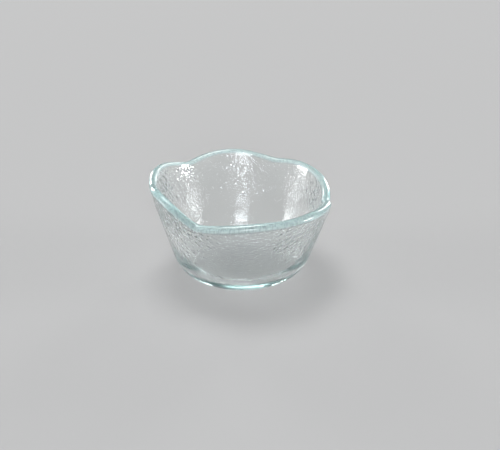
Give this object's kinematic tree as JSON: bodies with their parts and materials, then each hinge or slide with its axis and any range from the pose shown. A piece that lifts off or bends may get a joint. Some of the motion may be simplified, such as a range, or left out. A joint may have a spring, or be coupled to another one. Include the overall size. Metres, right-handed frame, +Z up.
{
  "type": "sauce dish",
  "caption": "Small clear glass sauce dish with a flat foot, a flared pebbled wall and a wavy, petal-shaped, fire-polished rim.",
  "frame": {"origin": "middle of the flat underside, on the surface the dish stands on", "axes": "+Z up out of the dish, -Y towards the viewer of the picture, +X to the viewer's right"},
  "size_m": [0.0876, 0.0879, 0.0474],
  "materials": {
    "clear_glass": "clear glass with a pale aqua edge, fire-polished rim and inside, fine pebbled outer wall"
  },
  "bodies": {
    "root": {"glass_dish": "clear_glass"}
  },
  "joints": []
}
